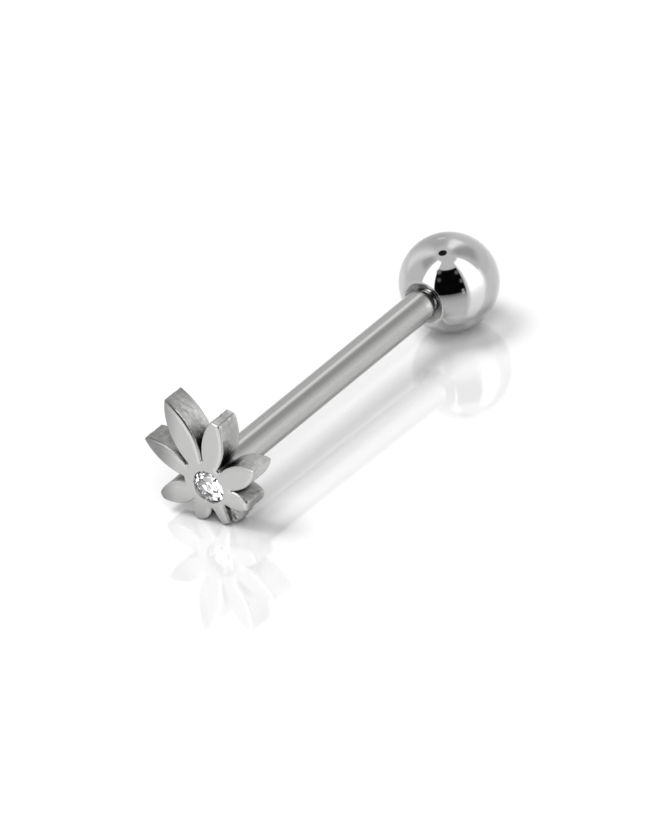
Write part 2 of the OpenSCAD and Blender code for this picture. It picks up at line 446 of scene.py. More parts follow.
@dataclass
class Leaf:
    """The cast leaf: a flat plate with a soft front edge, rough side walls and a seat for the stone.

    The plate is meshed along its own shape. Each leaflet is ruled across between its two flanks, and the hub
    between them is ruled from the notches in to the seat. The front's height falls off with the distance to
    the outline.
    """

    rest: Rest
    finish: bpy.types.Material
    leaflets: tuple[Leaflet, ...] = (
        # turn, reach, root, peak, left, right, worn, grain, shade_level (painted shade on its walls)
        Leaflet(38, 3.95, 0.60, 4.02, 0.56, 0.57, 0.06, 0.9, 0.10),
        Leaflet(-1, 4.85, 0.60, 4.85, 0.73, 0.73, 0.04, 0.6, 0.08),
        Leaflet(-39, 4.03, 0.60, 4.38, 0.63, 0.66, 0.05, 0.1, 0.3),
        Leaflet(-84, 3.62, 0.50, 3.62, 0.61, 0.64, 0.07, 0.5, 0.0),
        Leaflet(-123, 2.42, 0.30, 2.66, 0.47, 0.60, 0.05, 0.6, 0.45),
        Leaflet(130.3, 2.20, 0.45, 2.20, 0.62, 0.36, 0.04, 0.6, 0.15),
        Leaflet(89, 3.20, 0.50, 3.42, 0.58, 0.59, 0.08, 0.6, 0.15),
    )
    thick: float = 1.39
    hub: float = 1.34
    hub_at: tuple[float, float] = (0.04, 0.16)
    stone_at: tuple[float, float] = (0.15, 0.05)
    stem_width: float = 0.54
    stem_side: float = 0.08
    stem_flare: float = 9.0
    stem_reach: float = 2.02
    stem_top: float = 0.4
    stem_grain: float = 0.6
    # How dark the stem's walls are painted, painted shade.
    stem_shade: float = 0.1
    edge: float = 0.07
    pillow_drop: float = 0.07
    pillow_width: float = 0.28
    back_edge: float = 0.05
    back_grain: float = 0.6
    seat: float = 0.87
    seat_edge: float = 0.03
    seat_floor: float = 0.10
    seat_wall: float = 0.19
    seat_depth: float = 0.87
    # How far the painted shade reaches from each notch, counter-clockwise, and at how many times that it is
    # gone.
    painted_shade: tuple[float, ...] = (0.6, 0.5, 0.6, 0.15, 0.2, 0.6, 0.7, 0.35)
    notch_shade_fade: float = 2.5
    # The walls' cast bumps, and the powers with which bumps and grain grow from the edges.
    bumps: tuple[Bumps, ...] = ((0.012, 0.5, 11), (0.006, 0.2, 12))
    bump_power: float = 0.6
    grain_power: float = 0.3
    # How the notches are rounded, and how far from a tip its own rounding reaches.
    notch_worn: float = 0.025
    tip_span: float = 0.45
    # The net: rays that find the outline, its step, and points along a flank, across, inwards and upwards.
    rays: int = 72001
    step: float = 0.01
    stations: int = 61
    across: int = 27
    hub_rings: int = 15
    wall_rows: int = 19

    def lobes(self) -> np.ndarray:
        """Lists the leaflets and the stem's foot, counter-clockwise from upright.

        Returns:
            A row for each: its angle in radians, how rough its side walls are, and how dark they are painted
                as shade.
        """
        foot = math.pi + math.atan2(self.stem_side, self.stem_reach)
        rows = [(math.radians(l.turn % 360), l.grain, l.shade_level) for l in self.leaflets]
        return np.array(sorted(rows + [(foot, self.stem_grain, self.stem_shade)]))

    def radius(self, angle: np.ndarray) -> np.ndarray:
        """Works out how far the outline is: the furthest exit from hub, stem and leaflets.

        A ray leaves the hub's circle at foot + half chord, and the stem, a convex shape round the centre,
        where it meets the first of its sides: side's distance / cosine to the side's normal.

        Args:
            angle: Directions in radians, counter-clockwise from upright.

        Returns:
            Distances from the leaf's centre.
        """
        x, y = -np.sin(angle), np.cos(angle)
        foot = x * self.hub_at[0] + y * self.hub_at[1]
        hub = foot + np.sqrt(foot**2 - self.hub_at[0] ** 2 - self.hub_at[1] ** 2 + self.hub**2)
        slant, half, low = math.radians(self.stem_flare), self.stem_width / 2, -self.stem_reach
        sides = (
            # the side's normal, x and y, and a point on it, x and y
            (-math.cos(slant), -math.sin(slant), self.stem_side - half, low),
            (math.cos(slant), -math.sin(slant), self.stem_side + half, low),
            (0.0, -1.0, 0.0, low),
            (0.0, 1.0, 0.0, self.stem_top),
        )
        meets = []
        for nx, ny, px, py in sides:
            towards = x * nx + y * ny
            meets.append(np.where(towards > 1e-6, (px * nx + py * ny) / np.maximum(towards, 1e-6), np.inf))
        return np.max([hub, np.min(meets, axis=0)] + [l.exit(angle) for l in self.leaflets], axis=0)

    def outline(self) -> Outline:
        """Walks round the outline at even steps, with its tips rounded as casting and belting leave them.

        A corner is rounded by a Gaussian mean of its neighbours on the curve, as a product in frequency.
        The notches stay crisp, and each tip takes its own width, faded in by exp(-(distance / span) ** 4).

        Returns:
            The outline.
        """
        angle = np.linspace(0, 2 * np.pi, self.rays)
        r = self.radius(angle)
        raw = np.stack([-r * np.sin(angle), r * np.cos(angle)], -1)
        run = np.r_[0, np.cumsum(np.hypot(*np.diff(raw, axis=0).T))]
        count = int(run[-1] / self.step)
        even = np.linspace(0, run[-1], count, endpoint=False)
        points = np.interp(even, run, raw[:, 0]) + 1j * np.interp(even, run, raw[:, 1])
        terms, rates = np.fft.fft(points), np.fft.fftfreq(count, run[-1] / count)

        def soft(width: float) -> np.ndarray:
            """Rounds the whole curve by one width."""
            return np.fft.ifft(terms * np.exp(-2 * (np.pi * rates * width) ** 2))

        curve = soft(self.notch_worn)
        for leaflet in self.leaflets:
            tip = np.interp(math.radians(leaflet.turn % 360), angle, run)
            gap = np.abs((even - tip + run[-1] / 2) % run[-1] - run[-1] / 2)
            share = np.exp(-((gap / self.tip_span) ** 4))
            curve = curve * (1 - share) + soft(leaflet.worn) * share
        return Outline(np.stack([curve.real, curve.imag], -1))

    def flanks(self, outline: Outline) -> list[tuple[np.ndarray, np.ndarray]]:
        """Splits the outline at its notches and tips.

        Args:
            outline: The outline.

        Returns:
            For each lobe, counter-clockwise, the stations of its first flank from notch to tip and of its
            second flank from notch to tip.
        """
        xy = outline.points
        count, r = len(xy), np.hypot(*xy.T)
        angle = np.unwrap(np.arctan2(-xy[:, 0], xy[:, 1]))
        tips = [int(np.abs((angle - t + np.pi) % (2 * np.pi) - np.pi).argmin()) for t in self.lobes()[:, 0]]
        tips = [t + count * (t < tips[0] and i > 0) for i, t in enumerate(tips)]
        notches = []
        for a, b in zip(tips, tips[1:] + [tips[0] + count]):
            span = np.arange(a, b)
            notches.append(int(span[r[span % count].argmin()]))
        share = crowded(self.stations)
        ends = zip([notches[-1] - count] + notches[:-1], tips, notches)
        return [(first + share * (tip - first), last + share * (tip - last)) for first, tip, last in ends]

    def fall(self, distance: np.ndarray) -> np.ndarray:
        """Works out how far the front lies below its flat: a quarter round on a wider, shallow pillow.

        The round is edge - sqrt(edge ** 2 - near ** 2), and the pillow's drop goes by its share squared.

        Args:
            distance: Distance to the outline.

        Returns:
            The fall.
        """
        near = self.edge - np.minimum(distance, self.edge)
        quarter = self.edge - np.sqrt(np.maximum(self.edge**2 - near**2, 0))
        return quarter + self.pillow_drop * (1 - np.minimum(distance / self.pillow_width, 1)) ** 2

    def lift(self, distance: np.ndarray) -> np.ndarray:
        """How far the back lies above z = 0: a small quarter round at its edge."""
        near = self.back_edge - np.minimum(distance, self.back_edge)
        return self.back_edge - np.sqrt(np.maximum(self.back_edge**2 - near**2, 0))

    def put(self, xy: np.ndarray, z: np.ndarray) -> np.ndarray:
        """Joins flat points about the leaf's centre with heights, measured from the bar's axis."""
        return np.stack([xy[..., 0], xy[..., 1] - self.rest.bar_offset, z], -1)

    def make(self) -> bpy.types.Object:
        """Builds the leaf's closed shell.

        Front and back are one ruled net at two heights, joined by the side walls, and the seat is turned
        about the stone's axis. The front is at thickness - fall(distance to the outline), and the back at
        lift(distance).

        Returns:
            The leaf.
        """
        outline = self.outline()
        shell, bases, walls = Shell(), [], []
        mix = crowded(self.across)[None, :, None]
        flanks = self.flanks(outline)
        for first, second in flanks:
            net = outline.at(first)[:, None] * (1 - mix) + outline.at(second)[:, None] * mix
            self.sheet(shell, net, outline)
            bases.append(net[0])
            walls += [first, second[::-1][1:]]
        ring = np.concatenate([b[:-1] for b in bases] + [bases[0][:1]])
        way = np.arctan2(ring[:, 1] - self.stone_at[1], ring[:, 0] - self.stone_at[0])
        rim = np.stack([np.cos(way), np.sin(way)], -1)
        inner = rim * (self.seat + self.seat_edge) + self.stone_at
        steps = np.linspace(0, 1, self.hub_rings)[:, None, None]
        self.sheet(shell, ring * (1 - steps) + inner * steps, outline, back=False)
        self.sheet(shell, ring * (1 - steps), outline, front=False)
        self.wall(shell, np.concatenate(walls), outline, [second[0] for _, second in flanks])
        self.cup(shell, rim, inner, outline)
        return shell.build("leaf", self.rest, self.finish, sharp=38)

    def sheet(self, shell: Shell, net: np.ndarray, outline: Outline, front: bool = True,
              back: bool = True) -> None:
        """Adds a net of points as a piece of the front and of the back.

        Args:
            shell: Where the grids go.
            net: Flat points of shape (rows, columns, 2).
            outline: The outline.
            front: Whether the front is added.
            back: Whether the back is added.
        """
        distance = outline.clear(net)
        if front:
            shell.grid(self.put(net, self.thick - self.fall(distance)), 0.0, net)
        if back:
            shell.grid(self.put(net, self.lift(distance)), self.back_grain, net)

    def wall(self, shell: Shell, run: np.ndarray, outline: Outline, notches: list[float]) -> None:
        """Adds the side walls: the outline carried from back to front, pushed in and out by cast unevenness.

        The push grows from zero at both edges as a power of the sine of the height between them. The painted
        shade in a notch, where the walls would lie in shade, is 1 up to its own reach, and falls to the
        lobe's painted shade level as a smooth step. The outline starts on the longest leaflet, and that
        flank is cast like its left neighbour.

        Args:
            shell: Where the grid goes.
            run: Stations round the outline.
            outline: The outline.
            notches: The notches' stations.
        """
        count, high = len(outline.points), self.thick - self.edge - self.pillow_drop
        run = np.r_[run, run[0] + count]
        way = outline.at(run + 3) - outline.at(run - 3)
        normal = np.stack([way[:, 1], -way[:, 0]], -1) / np.maximum(np.hypot(*way.T), 1e-9)[:, None]
        share = np.linspace(0, 1, self.wall_rows)[:, None]
        z, arc = self.back_edge + (high - self.back_edge) * share, run[None] * self.step
        push = sum(waves(arc, z, bumps) for bumps in self.bumps)
        push = push * np.sin(np.pi * share) ** self.bump_power
        net = outline.at(run)[None] + normal[None] * push[..., None]
        lobes = self.lobes()
        grain, painted_shade = lobes[np.searchsorted(notches, run % count, side="right") % len(lobes), 1:].T
        # Painted shade: the walls darken towards each notch, where they would lie in shade.
        for notch, reach in zip(notches, self.painted_shade):
            gap = self.step * np.abs((run - notch + count / 2) % count - count / 2)
            left = (self.notch_shade_fade * reach - gap) / ((self.notch_shade_fade - 1) * reach)
            painted_shade = np.maximum(painted_shade, smooth(np.clip(left, 0, 1)))
        fade = np.sin(np.pi * share) ** self.grain_power
        uv = np.stack(np.broadcast_arrays(arc, z), -1)
        shell.grid(self.put(net, np.broadcast_to(z, push.shape)), grain * fade, uv, painted_shade * fade)

    def cup(self, shell: Shell, rim: np.ndarray, inner: np.ndarray, outline: Outline) -> None:
        """Adds the stone's seat: a small round lip, a straight wall, a cone and a floor.

        Args:
            shell: Where the grid goes.
            rim: Directions from the stone's centre, of shape (n, 2).
            inner: The hub's innermost points.
            outline: The outline.
        """
        top = self.thick - self.fall(outline.clear(inner))
        turn = np.linspace(0, np.pi / 2, 5)
        lip = np.stack([self.seat + self.seat_edge * (1 - np.sin(turn)),
                        -self.seat_edge * (1 - np.cos(turn))], -1)
        deep = path((self.seat, -self.seat_edge), (self.seat, -self.seat_wall),
                    (self.seat_floor, -self.seat_depth), (0.0, -self.seat_depth), step=0.06)[1:]
        r, z = np.concatenate([lip, deep]).T[:, :, None]
        ease = np.clip((r - self.seat + 0.001) / (self.seat_edge + 0.001), 0, 1)
        level = self.thick + z + (top - self.thick)[None] * ease
        shell.grid(self.put(rim[None] * r[..., None] + self.stone_at, level))


@dataclass
class Web:
    """The rough web that casting left in the notch between the stem and the lower right leaflet."""

    leaf: Leaf
    inner: float = 0.9
    reach: float = 2.2
    drop: float = 0.3
    thick: float = 0.6
    edge: float = 0.12
    # Degrees from straight down at which it starts, is whole, stops being whole and ends, and how far from
    # the leaf's centre the points lie that its two ends are drawn together to.
    span: tuple[float, float, float, float] = (5, 9, 57, 60)
    ends_at: float = 1.5
    # Cast bumps of its front edge, from a distance on, and of its height.
    bumps: Bumps = (0.03, 0.5, 21)
    bumps_from: float = 1.8
    swell: Bumps = (0.022, 0.3, 22)
    grain: float = 0.75
    # Painted shade on the web, darkest at its inner side: its strength, the distance from the leaf's centre
    # where it ends, and the width over which it fades.
    shade_level: float = 0.8
    shade_end: float = 1.6
    shade_fade: float = 0.3

    def make(self) -> bpy.types.Object:
        """Builds the web.

        A profile (radius, z) with a rounded front edge is swept from the stem to the leaflet, pushed in and
        out by cast unevenness, and drawn together to a point inside each of them.

        Returns:
            The web.
        """
        front, outer = self.leaf.thick - self.drop, self.reach
        back = front - self.thick
        loop = np.concatenate([
            path((self.inner, back), (self.inner, front), (outer - self.edge, front))[:-1],
            bend((outer - self.edge, front - self.edge), self.edge, 90, 0, 8),
            path((outer, front - self.edge), (outer, back), (self.inner, back))[1:],
        ])
        start, whole, last, end = self.span
        angle = np.radians(np.r_[start, np.linspace(whole, last, 61), end])[None, :]
        r, z = (np.repeat(loop[:, i : i + 1], angle.shape[1], 1) for i in (0, 1))
        r, z = (r + waves(angle * 2, z, self.bumps) * (r > self.bumps_from),
                z + waves(r * np.sin(angle), r * np.cos(angle), self.swell))
        r[:, [0, -1]], z[:, [0, -1]] = self.ends_at, (front + back) / 2
        points = self.leaf.put(np.stack([r * np.sin(angle), -r * np.cos(angle)], -1), z)
        points[-1] = points[0]
        shell = Shell()
        # Painted shade, dark at the web's inner side by the stem and the leaflet.
        dark = self.shade_level * np.clip((self.shade_end - r) / self.shade_fade, 0, 1)
        shell.grid(points, self.grain, None, dark)
        return shell.build("web", self.leaf.rest, self.leaf.finish, sharp=40)


@dataclass
class Bar:
    """The bar: a turned steel rod with a solder fillet at the leaf and a rounded shoulder at the stud."""

    rest: Rest
    finish: bpy.types.Material
    radius: float = 0.8
    length: float = 16.65
    sunk: float = 0.05
    fillet: float = 0.2
    # The fillet's ripples: how far they reach, their height, and waves, share and phase of each.
    ripple_reach: float = 0.5
    ripple: float = 0.012
    ripples: tuple[tuple[int, float, float], ...] = ((2, 1.0, 0.6), (3, 0.6, 2.0), (5, 0.4, 4.0))
    burr_rise: float = 0.02
    burr_run: float = 0.48
    round_in: float = 0.11
    round_down: float = 0.22
    # Nothing closer to the axis than this is threaded.
    core: float = 0.3
    stud_radius: float = 0.6
    stud_length: float = 2.6
    stud_bevel: float = 0.15
    pitch: float = 0.25
    depth: float = 0.12
    thread_start: float = 0.12
    thread_end: float = 0.05
    thread_fade: float = 0.2

    def make(self) -> bpy.types.Object:
        """Builds the rod: a profile of fillet, shank, burr and end face, turned about the axis.

        Returns:
            The rod.
        """
        outer, end = self.radius + self.fillet, -self.length
        shank_end = end + self.burr_run + self.round_down
        profile = np.concatenate([
            [(0.0, self.sunk), (outer, self.sunk)],
            bend((outer, -self.fillet), self.fillet, 90, 180, 12),
            path((self.radius, -self.fillet), (self.radius, shank_end), step=0.25)[1:],
            self.burr(end),
            path((self.radius - self.round_in, end), (self.core, end), (0.0, end), step=0.1)[1:],
        ])

        def solder(radius: np.ndarray, z: np.ndarray, angle: np.ndarray) -> np.ndarray:
            """Swells the fillet a little where the solder ran, by a sum of sines of the angle."""
            near = np.clip((z + self.ripple_reach) / self.ripple_reach, 0, 1) * (radius > 0.1) * (z <= 0.0)
            swell = self.ripple * sum(s * np.sin(n * angle + p) for n, s, p in self.ripples)
            return radius + near**2 * swell

        shell = Shell()
        shell.turn(profile, 128, solder)
        return shell.build("bar", self.rest, self.finish, sharp=32)

    def burr(self, end: float) -> np.ndarray:
        """Draws the shoulder as turning leaves it: it swells a little, then rounds over to the end face.

        Args:
            end: Height of the end face.

        Returns:
            Points (radius, z): a smooth rise, then a quarter of an ellipse.
        """
        share, turn = np.linspace(0, 1, 15)[1:], np.linspace(0, np.pi / 2, 11)[1:]
        rise = np.stack([self.radius + self.burr_rise * smooth(share),
                         end + (self.burr_run + self.round_down) - self.burr_run * share], -1)
        over = np.stack([self.radius - self.round_in + (self.round_in + self.burr_rise) * np.cos(turn),
                         end + self.round_down * (1 - np.sin(turn))], -1)
        return np.concatenate([rise, over])

    def stud(self) -> bpy.types.Object:
        """Builds the stud: a bevelled pin, turned, with a helical thread.

        Returns:
            The stud.
        """
        top, end = -self.length + self.sunk, -self.length - self.stud_length
        side, bevel = self.stud_radius, self.stud_bevel
        profile = np.concatenate([
            [(0.0, top)],
            path((side, top), (side, end + bevel), step=0.025),
            path((side, end + bevel), (side - bevel, end), (0.0, end), step=0.06)[1:],
        ])

        def thread(radius: np.ndarray, z: np.ndarray, angle: np.ndarray) -> np.ndarray:
            """Cuts the groove, fading out at the shoulder and at the stud's end: radius - depth * groove."""
            run = (np.clip((-self.length - self.thread_start - z) / self.thread_fade, 0, 1)
                   * np.clip((z - end - self.thread_end) / self.thread_fade, 0, 1))
            return radius - self.depth * groove(z, angle, self.pitch) * run * (radius > self.core)

        shell = Shell()
        shell.turn(profile, 96, thread)
        return shell.build("stud", self.rest, self.finish, sharp=50)


@dataclass
class Ball:
    """The screw-on ball: a polished sphere, turned flat round its countersunk, threaded blind hole."""

    rest: Rest
    finish: bpy.types.Material
    radius: float = 2.5
    face: float = 1.2
    edge: float = 0.05
    sink: float = 1.1
    sink_depth: float = 0.35
    sink_edge: float = 0.02
    hole: float = 0.63
    hole_draft: float = 0.005
    hole_length: float = 2.6
    drill_point: float = 0.35
    shoulder: float = 16.7
    pitch: float = 0.25
    depth: float = 0.07
    # Where the thread starts below the countersink, and over which lengths it comes in and goes out.
    thread_start: float = 0.05
    thread_in: float = 0.15
    thread_out: float = 0.2

    @staticmethod
    def soften(before: Sequence[float], corner: Sequence[float], after: Sequence[float]) -> np.ndarray:
        """Rounds a corner of the profile: (1 - t)**2 before + 2 t (1 - t) corner + t**2 after."""
        t = np.linspace(0, 1, 7)[:, None]
        return (1 - t) ** 2 * np.array(before) + 2 * t * (1 - t) * np.array(corner) + t**2 * np.array(after)

    def make(self) -> bpy.types.Object:
        """Builds the ball: sphere, rounded edge, flat, countersink, bore and drill point, all turned.

        Returns:
            The ball.
        """
        flat = math.sqrt(self.radius**2 - self.face**2)
        centre, floor, bottom = -self.shoulder - flat, flat - self.sink_depth, flat - self.hole_length
        last = math.degrees(math.atan2(flat, self.face)) - math.degrees(self.edge / self.radius)
        sphere = bend((0.0, 0.0), self.radius, -90, last, 150)
        rim = self.soften(sphere[-1], (self.face, flat), (self.face - self.edge, flat))[1:]
        lip, inner = self.sink_edge, (self.hole + self.hole_draft, floor)
        down = (self.sink - 0.6 * lip, flat - 0.8 * lip)
        mouth = self.soften((self.sink + lip, flat), (self.sink, flat), down)
        land = path(tuple(rim[-1]), tuple(mouth[0]))[1:-1]
        hole = np.concatenate([
            path(tuple(mouth[-1]), inner)[1:],
            path(inner, (self.hole, bottom), step=0.025)[1:],
            path((self.hole, bottom), (0.0, bottom - self.drill_point), step=0.08)[1:],
        ])
        profile = np.concatenate([sphere, rim, land, mouth, hole])
        profile[0, 0] = 0.0
        profile[:, 1] += centre

        def thread(radius: np.ndarray, z: np.ndarray, angle: np.ndarray) -> np.ndarray:
            """Cuts the bore's thread outwards from its plain radius, fading out at both ends."""
            run = (np.clip((centre + floor - self.thread_start - z) / self.thread_in, 0, 1)
                   * np.clip((z - (centre + bottom)) / self.thread_out, 0, 1))
            wall = np.abs(radius - self.hole) < 2 * self.hole_draft
            return radius + self.depth * groove(z, angle, self.pitch) * wall * run

        shell = Shell()
        cut = np.arange(len(profile)) >= len(profile) - len(hole)
        shell.turn(profile, 192, thread, cut[:, None])
        return shell.build("ball_shell", self.rest, self.finish, sharp=28)


@dataclass
class Stone:
    """The round brilliant in the leaf's seat: flat facets between rings of corners, and a foiled back."""

    rest: Rest
    finish: bpy.types.Material
    foil: bpy.types.Material
    centre: tuple[float, float] = (0.15, 0.05)
    girdle_at: float = 1.22
    radius: float = 0.85
    girdle: float = 0.03
    crown: float = 0.24
    pavilion: float = 0.68
    table: float = 0.57
    star: float = 0.76
    lower: float = 0.45
    mains: int = 8
    turn: float = 4.0
    # How far a hand-cut corner may be off, and the seed of that.
    hand_cut: float = 0.03
    seed: int = 31
    # Triangles that turn by fewer degrees than this are one facet.
    flat_within: float = 0.5
    # Foil is on the facets whose normal looks back by more than this.
    foil_from: float = 0.1

    def make(self) -> bpy.types.Object:
        """Builds the stone: the hull of its facets' corners, with the triangles joined where they are flat.

        The corners inside the girdle are a little off, as in a hand-cut stone. A star corner lies on the
        plane from the table's edge to the girdle: height = crown * (1 - (star * cos(half step) - table) /
        (1 - table)), and a lower corner likewise on the pavilion's.

        Returns:
            The stone.
        """
        half = math.pi / self.mains
        star_z = self.crown * (1 - (self.star * math.cos(half) - self.table) / (1 - self.table))
        rings = (
            # corners, first angle, share of the radius, height
            (self.mains, 0.0, self.table, self.girdle + self.crown),
            (self.mains, half, self.star, self.girdle + star_z),
            (2 * self.mains, 0.0, 1.0, self.girdle),
            (2 * self.mains, 0.0, 1.0, 0.0),
            (self.mains, half, self.lower, -self.pavilion * (1 - self.lower * math.cos(half))),
            (1, 0.0, 0.0, -self.pavilion),
        )
        points, draw = [], np.random.default_rng(self.seed)
        for count, first, share, z in rings:
            a = first + math.radians(self.turn) + np.arange(count) * 2 * np.pi / count
            r = share * self.radius
            off = self.hand_cut * draw.uniform(-1, 1, (count, 3)) * (0 < share < 1)
            points.append(np.stack([r * np.cos(a), r * np.sin(a), np.full(count, z)], -1) + off)
        shift = (self.centre[0], self.centre[1] - self.rest.bar_offset, self.girdle_at)
        mesh = bpy.data.meshes.new("crystal")
        hull = bmesh.new()
        for point in self.rest.place(np.concatenate(points) + shift):
            hull.verts.new(point)
        bmesh.ops.convex_hull(hull, input=hull.verts[:])
        limit = math.radians(self.flat_within)
        bmesh.ops.dissolve_limit(hull, angle_limit=limit, verts=hull.verts[:], edges=hull.edges[:])
        bmesh.ops.recalc_face_normals(hull, faces=hull.faces[:])
        hull.to_mesh(mesh)
        hull.free()
        mesh.materials.append(self.finish)
        mesh.materials.append(self.foil)
        for facet in mesh.polygons:
            facet.material_index = int(facet.normal.x > self.foil_from)
        LOG.info("crystal: %d facets", len(mesh.polygons))
        return show("crystal", mesh)


@dataclass(frozen=True)
class Finish:
    """What the finishes share: a material of one Principled shader, named for what the real one is."""

    name: str

    def make(self) -> bpy.types.Material:
        """Makes the node material.

        Returns:
            The material.
        """
        material = bpy.data.materials.new(self.name)
        material.use_nodes = True
        tree = material.node_tree
        feed(tree, tree.nodes["Principled BSDF"], self.sockets(tree))
        return material

    def sockets(self, tree: bpy.types.NodeTree) -> dict[str, Any]:
        """Adds the finish's own nodes to a tree and gives what goes into the shader's sockets."""
        raise NotImplementedError


@dataclass(frozen=True)
class SatinCastSteel(Finish):
    """Cast stainless steel, its face belted to a satin: light grey; matt, pitted walls; painted shade."""

    name: str = "satin cast steel"
    colour: str = "#BFBFBE"
    pit_colour: str = "#8C8B89"
    shade_colour: str = "#1C1C1B"
    roughness: float = 0.27
    wall_roughness: float = 0.36
    # How much darker the metal is painted towards the floor, painted shade, and up to what height.
    floor_shade: float = 0.36
    floor_shade_mm: float = 1.6
    # Painted shade that darkens the leaflets of one side: its strength, between which distances it sets in,
    # how much of the height counts to them, and how far the walls are clear of it.
    side_shade: float = 0.52
    side_shade_mm: tuple[float, float] = (2.2, 3.3)
    side_shade_up: float = 0.25
    wall_clean: float = 0.65
    # The belt's own marks are finer than this. They are drawn as coarse as they need to be to show.
    grain_mm: float = 0.035
    grain_depth_mm: float = 0.004
    grain_strength: float = 0.25
    # The walls stand proud of their pits where pit noise and a share of patch noise add up to this range.
    pit_mm: float = 0.09
    patch_mm: float = 0.45
    patch_share: float = 0.45
    proud: tuple[float, float] = (0.60, 0.82)
    pit_depth_mm: float = 0.02
    pit_strength: float = 0.55

    def sockets(self, tree: bpy.types.NodeTree) -> dict[str, Any]:
        """Adds the nodes. Two attributes of the mesh say where walls are rough, "worn", and where shade is
        painted on them, "painted_shade". Painted shade also darkens the metal towards the floor and on the
        leaflets of one side.

        Args:
            tree: The material's tree.

        Returns:
            What goes into the shader's sockets.
        """
        place = add(tree, "TexCoord").outputs["Object"]
        worn = add(tree, "Attribute", attribute_name="worn").outputs["Fac"]
        painted_shade = add(tree, "Attribute", attribute_name="painted_shade").outputs["Fac"]
        grain = add(tree, "TexNoise", {"Vector": place, "Scale": per_metre(self.grain_mm), "Detail": 3.0})
        patch = add(tree, "TexNoise", {"Vector": place, "Scale": per_metre(self.patch_mm), "Detail": 2.0})
        pits = add(tree, "TexNoise", {"Vector": place, "Scale": per_metre(self.pit_mm), "Detail": 5.0,
                                      "Roughness": 0.65})
        spread = add(tree, "Math", [patch, self.patch_share, pits], operation="MULTIPLY_ADD")
        proud = add(tree, "MapRange", [spread, *self.proud])
        sunk = add(tree, "Math", [1.0, proud], operation="SUBTRACT")
        dark = add(tree, "Math", [sunk, worn], operation="MULTIPLY")
        metal = add(tree, "Mix", [dark, srgb(self.colour), srgb(self.pit_colour)], data_type="RGBA")
        # Painted shade: the walls darkened by the painted_shade attribute, by the notches and on the web.
        shaded_metal = add(tree, "Mix", [painted_shade, metal, srgb(self.shade_colour)], data_type="RGBA")
        axes = add(tree, "SeparateXYZ", [place]).outputs
        # Painted shade: darker towards the floor.
        low = add(tree, "MapRange", [axes["Z"], 0.0, self.floor_shade_mm * MM, self.floor_shade, 0.0])
        # Painted shade: darker on the leaflets of one side.
        outer = add(tree, "Math", [axes["Z"], self.side_shade_up, axes["Y"]], operation="MULTIPLY_ADD")
        side_shade_share = add(tree, "MapRange", [outer, *(mm * MM for mm in self.side_shade_mm), 0.0, self.side_shade])
        face = add(tree, "Math", [worn, -self.wall_clean, 1.0], operation="MULTIPLY_ADD")
        painted_shade_share = add(tree, "Math", [side_shade_share, face, low], operation="MULTIPLY_ADD")
        fine = add(tree, "Bump", {"Height": grain, "Strength": self.grain_strength,
                                  "Distance": self.grain_depth_mm * MM})
        weight = add(tree, "Math", [worn, self.pit_strength], operation="MULTIPLY")
        return {
            "Base Color": add(tree, "Mix", [painted_shade_share, shaded_metal, srgb(self.shade_colour)], data_type="RGBA"),
            "Metallic": 1.0,
            "Roughness": add(tree, "MapRange", [worn, 0.0, 1.0, self.roughness, self.wall_roughness]),
            "Normal": add(tree, "Bump", {"Height": proud, "Strength": weight, "Normal": fine,
                                         "Distance": self.pit_depth_mm * MM}),
        }


@dataclass(frozen=True)
class BrushedSteel(Finish):
    """Stainless steel rod, ground and brushed along its length: fine streaks that stretch the highlights."""

    name: str = "brushed steel rod"
    colour: str = "#B1B1B0"
    # Roughness at the two ends of the streaks' range.
    roughness: tuple[float, float] = (0.09, 0.23)
    # The brush's own marks are finer than this. They are drawn as coarse as they need to be to show.
    streak_mm: float = 0.03
    streak_length_mm: float = 3.0
    streak_depth_mm: float = 0.006
    streak_strength: float = 0.35

    def sockets(self, tree: bpy.types.NodeTree) -> dict[str, Any]:
        """Adds the nodes, on the piece's own flat coordinates in millimetres: round, along.

        Args:
            tree: The material's tree.

        Returns:
            What goes into the shader's sockets.
        """
        place = add(tree, "UVMap", uv_map="UVMap")
        scale = (1 / self.streak_mm, 1 / self.streak_length_mm, 1.0)
        stretch = add(tree, "Mapping", {"Vector": place, "Scale": scale})
        streak = add(tree, "TexNoise", {"Vector": stretch, "Scale": 1.0, "Detail": 4.0, "Roughness": 0.6})
        return {
            "Base Color": srgb(self.colour),
            "Metallic": 1.0,
            "Roughness": add(tree, "MapRange", [streak, 0.0, 1.0, *self.roughness]),
            "Normal": add(tree, "Bump", {"Height": streak, "Strength": self.streak_strength,
                                         "Distance": self.streak_depth_mm * MM}),
        }


